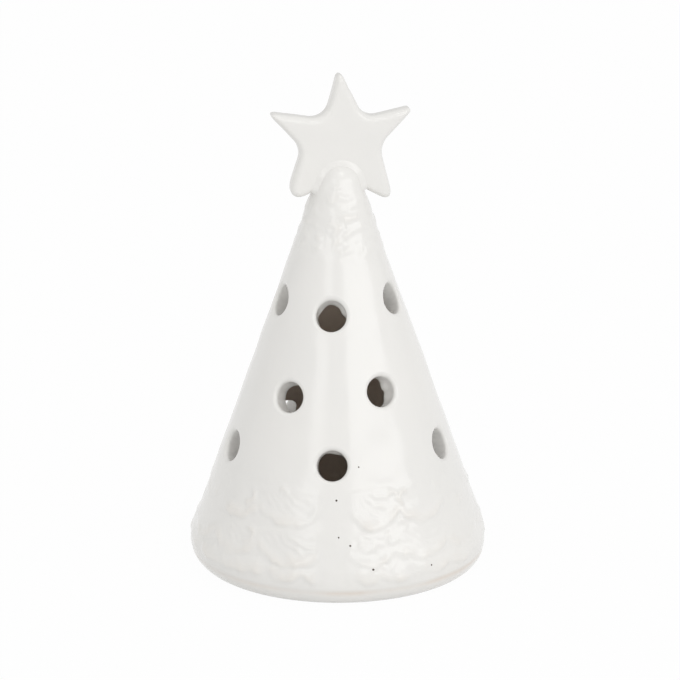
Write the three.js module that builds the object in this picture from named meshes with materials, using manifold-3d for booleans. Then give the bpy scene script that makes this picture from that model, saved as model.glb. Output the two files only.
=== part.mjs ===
// A pierced ceramic tree that stands over a tealight: a slip-cast cone, open at the foot, with three rows of
// hand-punched holes and a moulded star that sits astride its tip. Millimetres, +Z up, origin at the centre of
// the foot on the surface that it stands on. The front of the tree faces -Y.

import * as THREE from 'three';
import { mergeVertices } from 'three/addons/utils/BufferGeometryUtils.js';
import Module from 'manifold-3d';

const wasm = await Module();
wasm.setup();

// Cone, outside. Its straight side runs from the shoulder, above the rounded skirt, up to the neck.
const SHOULDER_RADIUS = 44.15;
const SHOULDER_HEIGHT = 12.0;
const SKIRT_HEIGHT = 7.0;         // corner that the skirt rounds off
const FOOT_FLARE = 0.45;          // how far the foot's side stands out past the shoulder
const FOOT_SIDE_HEIGHT = 3.2;     // where the skirt meets the rounded foot
const NECK_RADIUS = 12.6;
const TIP_HEIGHT = 127.8;         // of the top of the cone over the foot
const TIP_LENGTH = 23.8;          // from the neck to the top of the tip
const TIP_RADIUS = 6.9;           // ball that rounds the tip

// Foot ring and wall
const FOOT_ROUND = 3.8;           // from the foot's side in to the flat ring that the tree stands on
const FOOT_WIDTH = 4.0;           // from the outer edge of that ring in to the hollow
const FOOT_EASE = 1.2;            // easing of the foot's inner edge
const WALL = 5.5;                 // thickness of the cast wall
const CROWN = 15.8;               // solid clay over the hollow, under the top of the tip
const CAVITY_RADIUS = 4.5;        // ball that rounds the top of the hollow

// Holes, all punched by hand with one round cutter. A row lies at a share of the way from the shoulder to the neck
// and dips inwards by the angle of the hand. Each hole is [turn, stray]: its turn about the axis in degrees from the
// front, and how far it strayed from the height of its row, from -1 to 1 times HOLE_STRAY.
const HOLE_BORE = 9.2;
const HOLE_LIP = 0.9;             // radius of the eased outer lip
const HOLE_LIP_SWEEP = 80;        // degrees that the lip turns through before it meets the face
const HOLE_OVERRUN = 7.5;         // how far the cutter went on past the wall
const HOLE_STRAY = 1.0;
const HOLE_ROWS = [
  { share: 0.315, dip: 27, holes: [[-3.1, 0.6], [67.9, 0.3], [141.6, 0.4], [215.3, -0.5], [289.0, -1.0]] },
  { share: 0.53, dip: 26, holes: [[-33.3, -0.9], [29.6, 1.0], [103.9, 0.2], [178.2, -0.4], [252.4, 0.5]] },
  { share: 0.8, dip: 34, holes: [[-6.6, -1.0], [65.5, 1.0], [139.9, -0.3], [214.3, 0.4], [288.7, -0.1]] },
];

// Star. Its corners are those of its flat face, clockwise from the top point and seen from the front about its own
// middle: a point or a valley, at a turn in degrees from straight up, and how much its reach and its rounding differ
// from the sizes named here, because it was shaped by hand. The rounded rim stands out past them.
const STAR_POINT = 23.0;          // from the middle to a point
const STAR_VALLEY = 9.8;          // from the middle to the inner corner between two points
const POINT_ROUND = 1.4;          // length over which a point is rounded off
const VALLEY_ROUND = 4.6;
const STAR_THICKNESS = 5.6;
const STAR_RIM = 0.9;
const STAR_TURN = 12.0;           // degrees that its face looks to the right
const STAR_SINK = 4.7;            // how deep its lower valley sits under the top of the tip
const STAR_CORNERS = [
  { turn: 0.4, point: 0.925, round: 1 },
  { turn: 47.9, valley: 0.987, round: 1 },
  { turn: 67.1, point: 0.998, round: 0.3 },
  { turn: 96.8, valley: 1.191, round: 0.9 },
  { turn: 139.3, point: 1.061, round: 2.4 },
  { turn: 177.0, valley: 0.97, round: 1, lowest: true },
  { turn: 221.8, point: 1.022, round: 4.7 },
  { turn: 263.5, valley: 1.059, round: 0.9 },
  { turn: 296.0, point: 0.962, round: 0.3 },
  { turn: 331.0, valley: 0.779, round: 1.2 },
];

// Slip that lutes the star to the tip
const SEAT_GAP = 0.3;             // clearance between pieces that touch
const BEAD_RADIUS = 1.2;          // bead in the corner between the star's faces and the tip, down to the webs
const WEB_PROUD = 1.5;            // how far the web under each lower arm stands out of the flank
const WEB_HEIGHT = 5.2;
const WEB_DROP = 4.6;             // from the star's lower valley down to the middle of the webs

// Facets
const ROUND_STEPS = 64;           // round the cone
const HOLE_STEPS = 20;            // round a hole
const CURVE_STEPS = 4;            // along each curve of a profile
const CORNER_STEPS = 4;           // along each rounded corner of the star
const RIM_STEPS = 3;              // across each rounded edge of the star's rim
const LIP_STEPS = 3;              // across the lip of a hole
const BEAD_STEPS = 12;            // along the slip's arc over the tip
const LEG_STEPS = 3;              // along each leg of the slip's bead
const WEB_STEPS = 12;             // round a web

const neckHeight = TIP_HEIGHT - TIP_LENGTH;
const coneSlope = (SHOULDER_RADIUS - NECK_RADIUS) / (neckHeight - SHOULDER_HEIGHT);
const coneRadiusAt = (height) => SHOULDER_RADIUS - coneSlope * (height - SHOULDER_HEIGHT);
const wallAcross = WALL * Math.hypot(1, coneSlope);
const footSideRadius = SHOULDER_RADIUS + FOOT_FLARE;
const footOuterRadius = footSideRadius - FOOT_ROUND;
const footInnerRadius = footOuterRadius - FOOT_WIDTH;
const holeReach = WALL + HOLE_OVERRUN;

// Geometry to solid and back. Only positions are kept, so that shared vertices merge.
function toSolid(geometry) {
  const bare = geometry.clone();
  bare.deleteAttribute('normal');
  bare.deleteAttribute('uv');
  const merged = mergeVertices(bare, 1e-4);
  const vertProperties = new Float32Array(merged.attributes.position.array);
  const triVerts = new Uint32Array(merged.index.array);
  return new wasm.Manifold(new wasm.Mesh({ numProp: 3, vertProperties, triVerts }));
}

function toGeometry(solid) {
  const mesh = solid.getMesh();
  const geometry = new THREE.BufferGeometry();
  geometry.setAttribute('position', new THREE.BufferAttribute(new Float32Array(mesh.vertProperties), 3));
  geometry.setIndex(new THREE.BufferAttribute(new Uint32Array(mesh.triVerts), 1));
  geometry.computeVertexNormals();
  return geometry;
}

// Revolves (radius, height) points about the Z axis. They run up the outside and end on the axis.
function revolve(points) {
  return new THREE.LatheGeometry(points, ROUND_STEPS).rotateX(Math.PI / 2);
}

// Angle at which a line from the point touches a ball that is centred on the axis.
function touchAngle(from, ballRadius, centre) {
  const reach = Math.hypot(from.x, centre - from.y);
  return Math.atan2(from.y - centre, from.x) + Math.acos(ballRadius / reach);
}

// Draws on from where the path is, along the tangent to a ball on the axis and over the ball to its top.
function closeOverBall(path, from, ballRadius, top) {
  const centre = top - ballRadius;
  path.absarc(0, centre, ballRadius, touchAngle(from, ballRadius, centre), Math.PI / 2, false);
}

// Outer side of the cone, from the edge of the foot's flat to the top of the tip, moved out by grow.
function outerProfile(grow) {
  const skirtRadius = coneRadiusAt(SKIRT_HEIGHT);
  const footTaper = (skirtRadius - footSideRadius) / (SKIRT_HEIGHT - FOOT_SIDE_HEIGHT);
  const neck = new THREE.Vector2(NECK_RADIUS + grow, neckHeight);
  const path = new THREE.Path();
  path.moveTo(footOuterRadius + grow, 0);
  path.quadraticCurveTo(footSideRadius - footTaper * FOOT_SIDE_HEIGHT + grow, 0,
    footSideRadius + grow, FOOT_SIDE_HEIGHT);
  path.quadraticCurveTo(skirtRadius + grow, SKIRT_HEIGHT, SHOULDER_RADIUS + grow, SHOULDER_HEIGHT);
  path.lineTo(neck.x, neck.y);
  closeOverBall(path, neck, TIP_RADIUS + grow, TIP_HEIGHT + grow);
  return path.getPoints(CURVE_STEPS);
}

// Inner side, from the edge of the foot's flat to the top of the hollow.
function innerProfile() {
  const neck = new THREE.Vector2(NECK_RADIUS - wallAcross, neckHeight);
  const path = new THREE.Path();
  path.moveTo(footInnerRadius + FOOT_EASE, 0);
  path.quadraticCurveTo(footInnerRadius, 0, footInnerRadius, FOOT_EASE);
  path.quadraticCurveTo(coneRadiusAt(SKIRT_HEIGHT) - wallAcross, SKIRT_HEIGHT,
    SHOULDER_RADIUS - wallAcross, SHOULDER_HEIGHT);
  path.lineTo(neck.x, neck.y);
  closeOverBall(path, neck, CAVITY_RADIUS, TIP_HEIGHT - CROWN);
  return path.getPoints(CURVE_STEPS);
}

// The cone as if it were full, from the foot to the tip, moved out by grow.
function fullCone(grow) {
  return toSolid(revolve([new THREE.Vector2(0, 0), ...outerProfile(grow)]));
}

function hollowCone() {
  return toSolid(revolve([...innerProfile().reverse(), ...outerProfile(0)]));
}

// How far a line along axis, through a point near the wall, has to go outwards to meet the cone's outer face.
function stepsToFace(point, axis) {
  const radius = coneRadiusAt(point.z);
  const a = axis.x ** 2 + axis.y ** 2 - (coneSlope * axis.z) ** 2;
  const b = point.x * axis.x + point.y * axis.y + radius * coneSlope * axis.z;
  const c = point.x ** 2 + point.y ** 2 - radius ** 2;
  return (-b + Math.sqrt(b * b - a * c)) / a;
}

// The eased outer lip of a hole as (radius, depth) points, a curve that starts along the bore.
function lipOutline(bore) {
  const points = [];
  for (let i = 0; i < LIP_STEPS; i += 1) {
    const swing = THREE.MathUtils.degToRad(HOLE_LIP_SWEEP) * i / (LIP_STEPS - 1);
    points.push(new THREE.Vector2(bore + HOLE_LIP * (1 - Math.cos(swing)), HOLE_LIP * (Math.sin(swing) - 1)));
  }
  return points;
}

// The round cutter of one hole. Its lip flares like a trumpet and follows the cone's face all the way round.
function holeCutter(turn, height, dip) {
  const around = THREE.MathUtils.degToRad(turn);
  const down = THREE.MathUtils.degToRad(dip);
  const across = new THREE.Vector3(Math.cos(around), Math.sin(around), 0);
  const outwards = new THREE.Vector3(across.y, -across.x, 0);
  const mouth = outwards.clone().multiplyScalar(coneRadiusAt(height)).setZ(height);
  const axis = outwards.clone().multiplyScalar(Math.cos(down)).setZ(Math.sin(down));
  const upwards = new THREE.Vector3().crossVectors(axis, across).negate();
  const bore = HOLE_BORE / 2;
  const outline = [
    new THREE.Vector2(0, -holeReach),
    new THREE.Vector2(bore, -holeReach),
    ...lipOutline(bore),
    new THREE.Vector2(bore + HOLE_LIP, HOLE_LIP),
    new THREE.Vector2(0, HOLE_LIP),
  ];
  const geometry = new THREE.LatheGeometry(outline, HOLE_STEPS);
  const position = geometry.attributes.position;
  for (let i = 0; i < position.count; i += 1) {
    const depth = position.getY(i);
    const point = mouth.clone().addScaledVector(across, position.getX(i)).addScaledVector(upwards, position.getZ(i));
    const follow = depth > -holeReach ? stepsToFace(point, axis) : 0;
    point.addScaledVector(axis, depth + follow);
    position.setXYZ(i, point.x, point.y, point.z);
  }
  return toSolid(geometry);
}

// A corner of the star's flat face, about the star's middle.
function starCorner(corner) {
  const turn = THREE.MathUtils.degToRad(corner.turn);
  const reach = corner.point ? corner.point * STAR_POINT : corner.valley * STAR_VALLEY;
  return new THREE.Vector2(reach * Math.sin(turn), reach * Math.cos(turn));
}

// The star's flat face as a shape, with each corner rounded by a curve.
function starFace() {
  const shape = new THREE.Shape();
  const corners = STAR_CORNERS.map(starCorner);
  corners.forEach((corner, i) => {
    const before = corners.at(i - 1);
    const after = corners[(i + 1) % corners.length];
    const round = STAR_CORNERS[i].round * (STAR_CORNERS[i].point ? POINT_ROUND : VALLEY_ROUND);
    const start = before.clone().sub(corner).setLength(round).add(corner);
    const end = after.clone().sub(corner).setLength(round).add(corner);
    if (i === 0) shape.moveTo(start.x, start.y);
    else shape.lineTo(start.x, start.y);
    shape.quadraticCurveTo(corner.x, corner.y, end.x, end.y);
  });
  shape.closePath();
  return shape;
}

// Height of the star's lower valley, and of its middle above it
const valleyHeight = TIP_HEIGHT - STAR_SINK;
const starHeight = valleyHeight + STAR_RIM - starCorner(STAR_CORNERS.find((corner) => corner.lowest)).y;

// Turns what is built facing -Y about its own middle to where the star looks.
function turnWithStar(geometry) {
  return geometry.rotateZ(THREE.MathUtils.degToRad(STAR_TURN));
}

function starGeometry(grow) {
  const geometry = new THREE.ExtrudeGeometry(starFace(), {
    depth: STAR_THICKNESS - 2 * STAR_RIM,
    steps: 1,
    curveSegments: CORNER_STEPS,
    bevelEnabled: true,
    bevelSize: STAR_RIM + grow,
    bevelThickness: STAR_RIM + grow,
    bevelSegments: RIM_STEPS,
  });
  geometry.translate(0, 0, STAR_RIM - STAR_THICKNESS / 2);
  geometry.rotateX(Math.PI / 2);
  return turnWithStar(geometry).translate(0, 0, starHeight);
}

// The tip: the centre of its ball, the angle at which its straight flank touches the ball, and the flank's radius.
const ballCentre = TIP_HEIGHT - TIP_RADIUS;
const ballTouch = touchAngle(new THREE.Vector2(NECK_RADIUS, neckHeight), TIP_RADIUS, ballCentre);

function flankRadiusAt(height) {
  return (TIP_RADIUS - (height - ballCentre) * Math.sin(ballTouch)) / Math.cos(ballTouch);
}

// Height of the webs under the star's lower arms, where the beads end.
const webHeight = valleyHeight - WEB_DROP;

// Bead of slip along the corner between one face of the star and the tip: up one flank, over the ball and down.
function beadGeometry(side) {
  const face = side * STAR_THICKNESS / 2;
  const touchHeight = ballCentre + TIP_RADIUS * Math.sin(ballTouch);
  const arc = Math.sqrt(TIP_RADIUS ** 2 - face ** 2);
  const arcStart = Math.asin((touchHeight - ballCentre) / arc);
  const leg = [];
  for (let i = 0; i < LEG_STEPS; i += 1) {
    const height = THREE.MathUtils.lerp(webHeight, touchHeight, i / LEG_STEPS);
    leg.push(new THREE.Vector3(Math.sqrt(flankRadiusAt(height) ** 2 - face ** 2), face, height));
  }
  const points = [...leg];
  for (let i = 0; i <= BEAD_STEPS; i += 1) {
    const angle = THREE.MathUtils.lerp(arcStart, Math.PI - arcStart, i / BEAD_STEPS);
    points.push(new THREE.Vector3(arc * Math.cos(angle), face, ballCentre + arc * Math.sin(angle)));
  }
  points.push(...leg.reverse().map((point) => new THREE.Vector3(-point.x, face, point.z)));
  const section = new THREE.Shape().absarc(0, 0, BEAD_RADIUS, 0, 2 * Math.PI);
  return turnWithStar(new THREE.ExtrudeGeometry(section, {
    steps: 2 * BEAD_STEPS,
    curveSegments: CORNER_STEPS,
    extrudePath: new THREE.CatmullRomCurve3(points),
  }));
}

// Web of slip in the corner under one of the star's lower arms, as wide as the beads that it joins.
function webGeometry(side) {
  const geometry = new THREE.SphereGeometry(1, WEB_STEPS, WEB_STEPS / 2);
  geometry.scale(WEB_PROUD, STAR_THICKNESS / 2 + BEAD_RADIUS, WEB_HEIGHT / 2);
  return turnWithStar(geometry.translate(side * flankRadiusAt(webHeight), 0, webHeight));
}

function glazed(name, geometry, colour, roughness) {
  const material = new THREE.MeshStandardMaterial({ color: colour, roughness, metalness: 0 });
  const mesh = new THREE.Mesh(geometry, material);
  mesh.name = name;
  return mesh;
}

function treeBody() {
  let solid = hollowCone();
  for (const row of HOLE_ROWS) {
    for (const [turn, stray] of row.holes) {
      const height = THREE.MathUtils.lerp(SHOULDER_HEIGHT, neckHeight, row.share) + stray * HOLE_STRAY;
      solid = solid.subtract(holeCutter(turn, height, row.dip));
    }
  }
  solid = solid.subtract(toSolid(starGeometry(SEAT_GAP)));
  return glazed('tree_body', toGeometry(solid), 0xeceae6, 0.12);
}

function star() {
  return glazed('star', toGeometry(toSolid(starGeometry(0))), 0xeeece8, 0.12);
}

function lutingSlip() {
  let solid = toSolid(beadGeometry(-1)).add(toSolid(beadGeometry(1)));
  solid = solid.add(toSolid(webGeometry(-1))).add(toSolid(webGeometry(1)));
  solid = solid.subtract(fullCone(SEAT_GAP)).subtract(toSolid(starGeometry(SEAT_GAP)));
  return glazed('luting_slip', toGeometry(solid), 0xe6e3de, 0.15);
}

const group = new THREE.Group();
group.add(treeBody(), star(), lutingSlip());

export default group;
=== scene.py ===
# %% [markdown]
# # A pierced ceramic tree
# The object is a small conical tree of white glazed earthenware that stands over a tealight. The cone is
# slip-cast in a two-part mould, the holes are punched by hand while the clay is leather-hard, and a
# press-moulded star is luted to the tip with liquid clay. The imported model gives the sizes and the
# places. Here each piece gets its real surface. Everything is in metres, +Z up, and the front of the tree
# faces -Y.

import math

import bmesh
import bpy
import numpy as np
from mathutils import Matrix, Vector, noise


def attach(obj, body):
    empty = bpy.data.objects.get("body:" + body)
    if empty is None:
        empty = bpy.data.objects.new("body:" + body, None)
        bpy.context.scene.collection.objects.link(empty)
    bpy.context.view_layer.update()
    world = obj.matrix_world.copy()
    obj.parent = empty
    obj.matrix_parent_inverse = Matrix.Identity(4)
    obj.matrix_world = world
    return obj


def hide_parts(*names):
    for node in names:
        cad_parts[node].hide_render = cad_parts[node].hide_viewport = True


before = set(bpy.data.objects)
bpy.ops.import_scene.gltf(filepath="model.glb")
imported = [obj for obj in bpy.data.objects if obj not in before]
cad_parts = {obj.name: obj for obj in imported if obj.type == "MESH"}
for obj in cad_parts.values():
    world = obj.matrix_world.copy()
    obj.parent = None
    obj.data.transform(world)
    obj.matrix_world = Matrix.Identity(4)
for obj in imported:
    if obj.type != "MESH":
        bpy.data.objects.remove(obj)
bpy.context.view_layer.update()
MM = 0.001
print("nodes:", sorted(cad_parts))

# %% [markdown]
# ## Camera
# The tree is photographed from a little above with a long lens, which keeps the cone's sides nearly
# straight. The camera circles the tree's axis at a fixed distance, so its place is worked out from an
# elevation and a reach.

# %% The camera
CAMERA_ELEVATION = math.radians(19.32)
CAMERA_REACH = 2.0
AIM_HEIGHT = 69.98 * MM
AIM_ASIDE = 0.55 * MM
PHOTO_WIDTH = 680
PIXELS_PER_METRE = 3268.2

camera_data = bpy.data.cameras.new("camera")
camera = bpy.data.objects.new("camera", camera_data)
bpy.context.collection.objects.link(camera)
camera.location = (AIM_ASIDE, -CAMERA_REACH * math.cos(CAMERA_ELEVATION),
                   AIM_HEIGHT + CAMERA_REACH * math.sin(CAMERA_ELEVATION))
camera.rotation_euler = (math.pi / 2 - CAMERA_ELEVATION, 0, 0)
camera_data.sensor_width = 36
camera_data.lens = camera_data.sensor_width * PIXELS_PER_METRE * CAMERA_REACH / PHOTO_WIDTH
camera_data.clip_end = 50
bpy.context.scene.camera = camera
print("lens:", round(camera_data.lens, 1), "mm")

# %% [markdown]
# ## Colours and nodes
# A colour is written as its sRGB hex value, the way a paint or screen colour is named, and one function
# turns it to the linear values that the shader works in. Another adds a shader node with its settings and
# links, so that a material reads as a short list.

# %% Colour and node helpers
def linear(hex_colour):
    """sRGB hex to linear red, green, blue and alpha."""
    parts = [int(hex_colour[i:i + 2], 16) / 255 for i in (1, 3, 5)]
    return [p / 12.92 if p <= 0.04045 else ((p + 0.055) / 1.055) ** 2.4 for p in parts] + [1.0]


def add_node(owner, kind, settings=None, inputs=None):
    """A node of a material or world. inputs maps a socket to a value or to another node's output."""
    made = owner.node_tree.nodes.new(kind)
    for key, value in (settings or {}).items():
        setattr(made, key, value)
    for key, value in (inputs or {}).items():
        if isinstance(value, bpy.types.NodeSocket):
            owner.node_tree.links.new(value, made.inputs[key])
        else:
            made.inputs[key].default_value = value
    return made


def new_material(name):
    """An empty node material with its output node."""
    material = bpy.data.materials.new(name)
    material.use_nodes = True
    material.node_tree.nodes.clear()
    return material, add_node(material, "ShaderNodeOutputMaterial", {"name": "output"})


def finish_material(material, output, surface):
    """Links the finished surface to the material's output."""
    material.node_tree.links.new(surface, output.inputs["Surface"])
    print("material:", material.name, len(material.node_tree.nodes), "nodes")
    return material


MIX_SHARE, MIX_FROM, MIX_TO, MIX_COLOUR = 0, 6, 7, 2  # a Mix node's sockets and output for colours

# %% [markdown]
# ## White tin glaze
# A glossy, opaque white glaze over white earthenware, poured on and fired. It gives a clear, slightly
# wavy reflection. It runs thin over ridges, where the warmer clay shows through, and was wiped thin along
# the line round the foot, which is tinted and broken. The relief's height is stored on the mesh, so the
# shader knows the ridges.

# %% White tin glaze
CLOUD_SIZE = 26 * MM                             # the glaze lies thicker and thinner in clouds
WAVE_SIZE, WAVE_DEPTH = 5 * MM, 0.16 * MM        # its skin is faintly wavy
WIPED_HEIGHT = 4.2 * MM                          # middle of the line that was wiped round the foot
WIPED_FULL, WIPED_GONE = 0.1 * MM, 1.3 * MM      # distances from it where the tint is full and gone


def white_tin_glaze():
    material, output = new_material("white_tin_glaze")
    place = add_node(material, "ShaderNodeTexCoord")
    relief = add_node(material, "ShaderNodeAttribute", {"attribute_name": "relief"})
    cloud = add_node(material, "ShaderNodeTexNoise", inputs={
        "Vector": place.outputs["Object"], "Scale": 1 / CLOUD_SIZE, "Detail": 3.0, "Roughness": 0.5})
    thin = add_node(material, "ShaderNodeMapRange", inputs={
        "Value": relief.outputs["Fac"], "From Min": 0.25, "From Max": 0.9, "To Min": 0.0, "To Max": 1.0})
    clouded = add_node(material, "ShaderNodeMix", {"data_type": "RGBA"}, {
        MIX_SHARE: cloud.outputs["Fac"], MIX_FROM: linear("#e8e7e4"), MIX_TO: linear("#eeece8")})
    ridges = add_node(material, "ShaderNodeMix", {"data_type": "RGBA"}, {
        MIX_SHARE: thin.outputs["Result"], MIX_FROM: clouded.outputs[MIX_COLOUR], MIX_TO: linear("#ebe8e3")})
    height = add_node(material, "ShaderNodeSeparateXYZ", inputs={"Vector": place.outputs["Object"]})
    off_line = add_node(material, "ShaderNodeMath", {"operation": "SUBTRACT"}, {
        0: height.outputs["Z"], 1: WIPED_HEIGHT})
    off_line = add_node(material, "ShaderNodeMath", {"operation": "ABSOLUTE"}, {0: off_line.outputs["Value"]})
    near_line = add_node(material, "ShaderNodeMapRange", inputs={
        "Value": off_line.outputs["Value"], "From Min": WIPED_FULL, "From Max": WIPED_GONE,
        "To Min": 1.0, "To Max": 0.0})
    broken = add_node(material, "ShaderNodeMapRange", inputs={
        "Value": cloud.outputs["Fac"], "From Min": 0.42, "From Max": 0.62, "To Min": 0.15, "To Max": 0.48})
    foot_line = add_node(material, "ShaderNodeMath", {"operation": "MULTIPLY"}, {
        0: near_line.outputs["Result"], 1: broken.outputs["Result"]})
    colour = add_node(material, "ShaderNodeMix", {"data_type": "RGBA"}, {
        MIX_SHARE: foot_line.outputs["Value"], MIX_FROM: ridges.outputs[MIX_COLOUR],
        MIX_TO: linear("#dccdbe")})
    wave = add_node(material, "ShaderNodeTexNoise", inputs={
        "Vector": place.outputs["Object"], "Scale": 1 / WAVE_SIZE, "Detail": 2.0, "Roughness": 0.45})
    bump = add_node(material, "ShaderNodeBump", inputs={
        "Strength": 0.3, "Distance": WAVE_DEPTH, "Height": wave.outputs["Fac"]})
    gloss = add_node(material, "ShaderNodeMapRange", inputs={
        "Value": cloud.outputs["Fac"], "From Min": 0.3, "From Max": 0.7, "To Min": 0.14, "To Max": 0.22})
    surface = add_node(material, "ShaderNodeBsdfPrincipled", inputs={
        "Base Color": colour.outputs[MIX_COLOUR], "Roughness": gloss.outputs["Result"], "IOR": 1.52,
        "Normal": bump.outputs["Normal"]})
    return finish_material(material, output, surface.outputs["BSDF"])


glaze = white_tin_glaze()

# %% [markdown]
# ## Bare biscuit and pinholes
# Inside, the clay was left unglazed: a matt, faintly grainy, cream surface that handling has toned. Where
# gas escaped in the firing, the glaze has pinholes that show as dark dots.

# %% Bare biscuit and pinholes
GRAIN_SIZE, GRAIN_DEPTH = 0.9 * MM, 0.08 * MM  # coarse enough to show, where real grain is finer
STAIN_SIZE = 18 * MM
FLECK_SIZE = 0.5 * MM


def bare_biscuit():
    material, output = new_material("bare_earthenware_biscuit")
    place = add_node(material, "ShaderNodeTexCoord")
    grain = add_node(material, "ShaderNodeTexNoise", inputs={
        "Vector": place.outputs["Object"], "Scale": 1 / GRAIN_SIZE, "Detail": 4.0, "Roughness": 0.65})
    stain = add_node(material, "ShaderNodeTexNoise", inputs={
        "Vector": place.outputs["Object"], "Scale": 1 / STAIN_SIZE, "Detail": 3.0})
    colour = add_node(material, "ShaderNodeMix", {"data_type": "RGBA"}, {
        MIX_SHARE: stain.outputs["Fac"], MIX_FROM: linear("#e0d3c6"), MIX_TO: linear("#ebdfd3")})
    bump = add_node(material, "ShaderNodeBump", inputs={
        "Strength": 0.5, "Distance": GRAIN_DEPTH, "Height": grain.outputs["Fac"]})
    surface = add_node(material, "ShaderNodeBsdfPrincipled", inputs={
        "Base Color": colour.outputs[MIX_COLOUR], "Roughness": 0.85, "IOR": 1.45,
        "Normal": bump.outputs["Normal"]})
    return finish_material(material, output, surface.outputs["BSDF"])


def glaze_pinhole():
    material, output = new_material("glaze_pinhole")
    place = add_node(material, "ShaderNodeTexCoord")
    fleck = add_node(material, "ShaderNodeTexNoise", inputs={
        "Vector": place.outputs["Object"], "Scale": 1 / FLECK_SIZE, "Detail": 2.0})
    colour = add_node(material, "ShaderNodeMix", {"data_type": "RGBA"}, {
        MIX_SHARE: fleck.outputs["Fac"], MIX_FROM: linear("#5e554d"), MIX_TO: linear("#8a8178")})
    surface = add_node(material, "ShaderNodeBsdfPrincipled", inputs={
        "Base Color": colour.outputs[MIX_COLOUR], "Roughness": 0.7, "IOR": 1.45})
    return finish_material(material, output, surface.outputs["BSDF"])


biscuit = bare_biscuit()
pinhole = glaze_pinhole()
GLAZE, BISCUIT, PINHOLE = 0, 1, 2
FINISHES = [glaze, biscuit, pinhole]

# %% [markdown]
# ## Small modelling helpers
# An operator acts on whatever is selected, so each step starts from nothing selected and one active
# object.

# %% Modelling helpers
def only(piece):
    """Selects one object and makes it active, in object mode."""
    if bpy.context.object and bpy.context.object.mode != "OBJECT":
        bpy.ops.object.mode_set(mode="OBJECT")
    bpy.ops.object.select_all(action="DESELECT")
    piece.select_set(True)
    bpy.context.view_layer.objects.active = piece
    return piece


def named(name):
    """Names the object that an operator has just added."""
    piece = bpy.context.object
    piece.name = piece.data.name = name
    return piece


def apply_modifier(piece, kind, **settings):
    """Adds a modifier with its settings and applies it."""
    modifier = piece.modifiers.new(kind.lower(), kind)
    for key, value in settings.items():
        setattr(modifier, key, value)
    only(piece)
    bpy.ops.object.modifier_apply(modifier=modifier.name)
    return piece


def join(pieces, name):
    """Joins objects into the first."""
    only(pieces[0])
    for piece in pieces[1:]:
        piece.select_set(True)
    bpy.ops.object.join()
    return named(name)


def add_finishes(piece):
    """Gives a piece all the finishes in their order, so that a cut can keep the tool's own."""
    for finish in FINISHES:
        piece.data.materials.append(finish)


def copy_of(piece, name):
    """A copy of a piece with its own mesh."""
    twin = piece.copy()
    twin.data = piece.data.copy()
    twin.name = twin.data.name = name
    bpy.context.collection.objects.link(twin)
    return twin


def places(piece):
    """Vertex places as an array, in millimetres."""
    flat = np.empty(3 * len(piece.data.vertices))
    piece.data.vertices.foreach_get("co", flat)
    return flat.reshape(-1, 3) / MM


def set_places(piece, array):
    piece.data.vertices.foreach_set("co", (array * MM).ravel())
    piece.data.update()


# %% [markdown]
# ## The cone's section
# The cone is a body of revolution, so it is drawn as half a section: down the outside from the tip, round
# the foot and up the inside. A straight wall of 5.5 mm joins a rounded skirt and foot ring to a ball-
# shaped tip. The rows of points lie close together where the moulded relief will be, and further apart on
# the plain wall.

# %% Sizes of the section, in millimetres
CONE_HALF_ANGLE = math.radians(18.94)
SHOULDER = (44.15, 12.0)
SKIRT_HEIGHT = 7.0
FOOT_SIDE = (44.6, 3.2)
FOOT_OUTER, FOOT_INNER, FOOT_EASE = 40.8, 36.8, 1.2
NECK_HEIGHT = 104.0
TIP_HEIGHT, TIP_RADIUS = 127.8, 6.9
WALL = 5.5
CAVITY_TOP, CAVITY_RADIUS = 112.0, 4.5

SLOPE = math.tan(CONE_HALF_ANGLE)
WALL_ACROSS = WALL / math.cos(CONE_HALF_ANGLE)


def cone_radius(height):
    """Radius of the cone's straight face at a height."""
    return SHOULDER[0] - SLOPE * (height - SHOULDER[1])


def curve(start, bend, end, steps=12):
    """Points of a curve that leaves start and reaches end along the lines through bend."""
    t = np.linspace(0, 1, steps + 1)[:, None]
    return list((1 - t) ** 2 * np.array(start) + 2 * t * (1 - t) * np.array(bend) + t ** 2 * np.array(end))


def over_ball(start, radius, top, steps=24):
    """From start along the tangent to a ball on the axis, and over the ball to its top."""
    centre = top - radius
    reach = math.hypot(start[0], centre - start[1])
    touch = math.atan2(start[1] - centre, start[0]) + math.acos(radius / reach)
    angles = np.linspace(touch, math.pi / 2, steps + 1)
    arc = [np.array((radius * math.cos(angle), centre + radius * math.sin(angle))) for angle in angles]
    return [np.array(start)] + arc


def outer_section():
    """From the foot ring up the outside to the tip."""
    skirt = cone_radius(SKIRT_HEIGHT)
    taper = (skirt - FOOT_SIDE[0]) / (SKIRT_HEIGHT - FOOT_SIDE[1])
    points = curve((FOOT_OUTER, 0), (FOOT_SIDE[0] - taper * FOOT_SIDE[1], 0), FOOT_SIDE)
    points += curve(FOOT_SIDE, (skirt, SKIRT_HEIGHT), SHOULDER)
    return points + over_ball((cone_radius(NECK_HEIGHT), NECK_HEIGHT), TIP_RADIUS, TIP_HEIGHT)


def inner_section():
    """From the foot ring up the inside to the top of the hollow."""
    points = curve((FOOT_INNER + FOOT_EASE, 0), (FOOT_INNER, 0), (FOOT_INNER, FOOT_EASE))
    points += curve((FOOT_INNER, FOOT_EASE), (cone_radius(SKIRT_HEIGHT) - WALL_ACROSS, SKIRT_HEIGHT),
                    (SHOULDER[0] - WALL_ACROSS, SHOULDER[1]))
    neck = (cone_radius(NECK_HEIGHT) - WALL_ACROSS, NECK_HEIGHT)
    return points + over_ball(neck, CAVITY_RADIUS, CAVITY_TOP)


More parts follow.
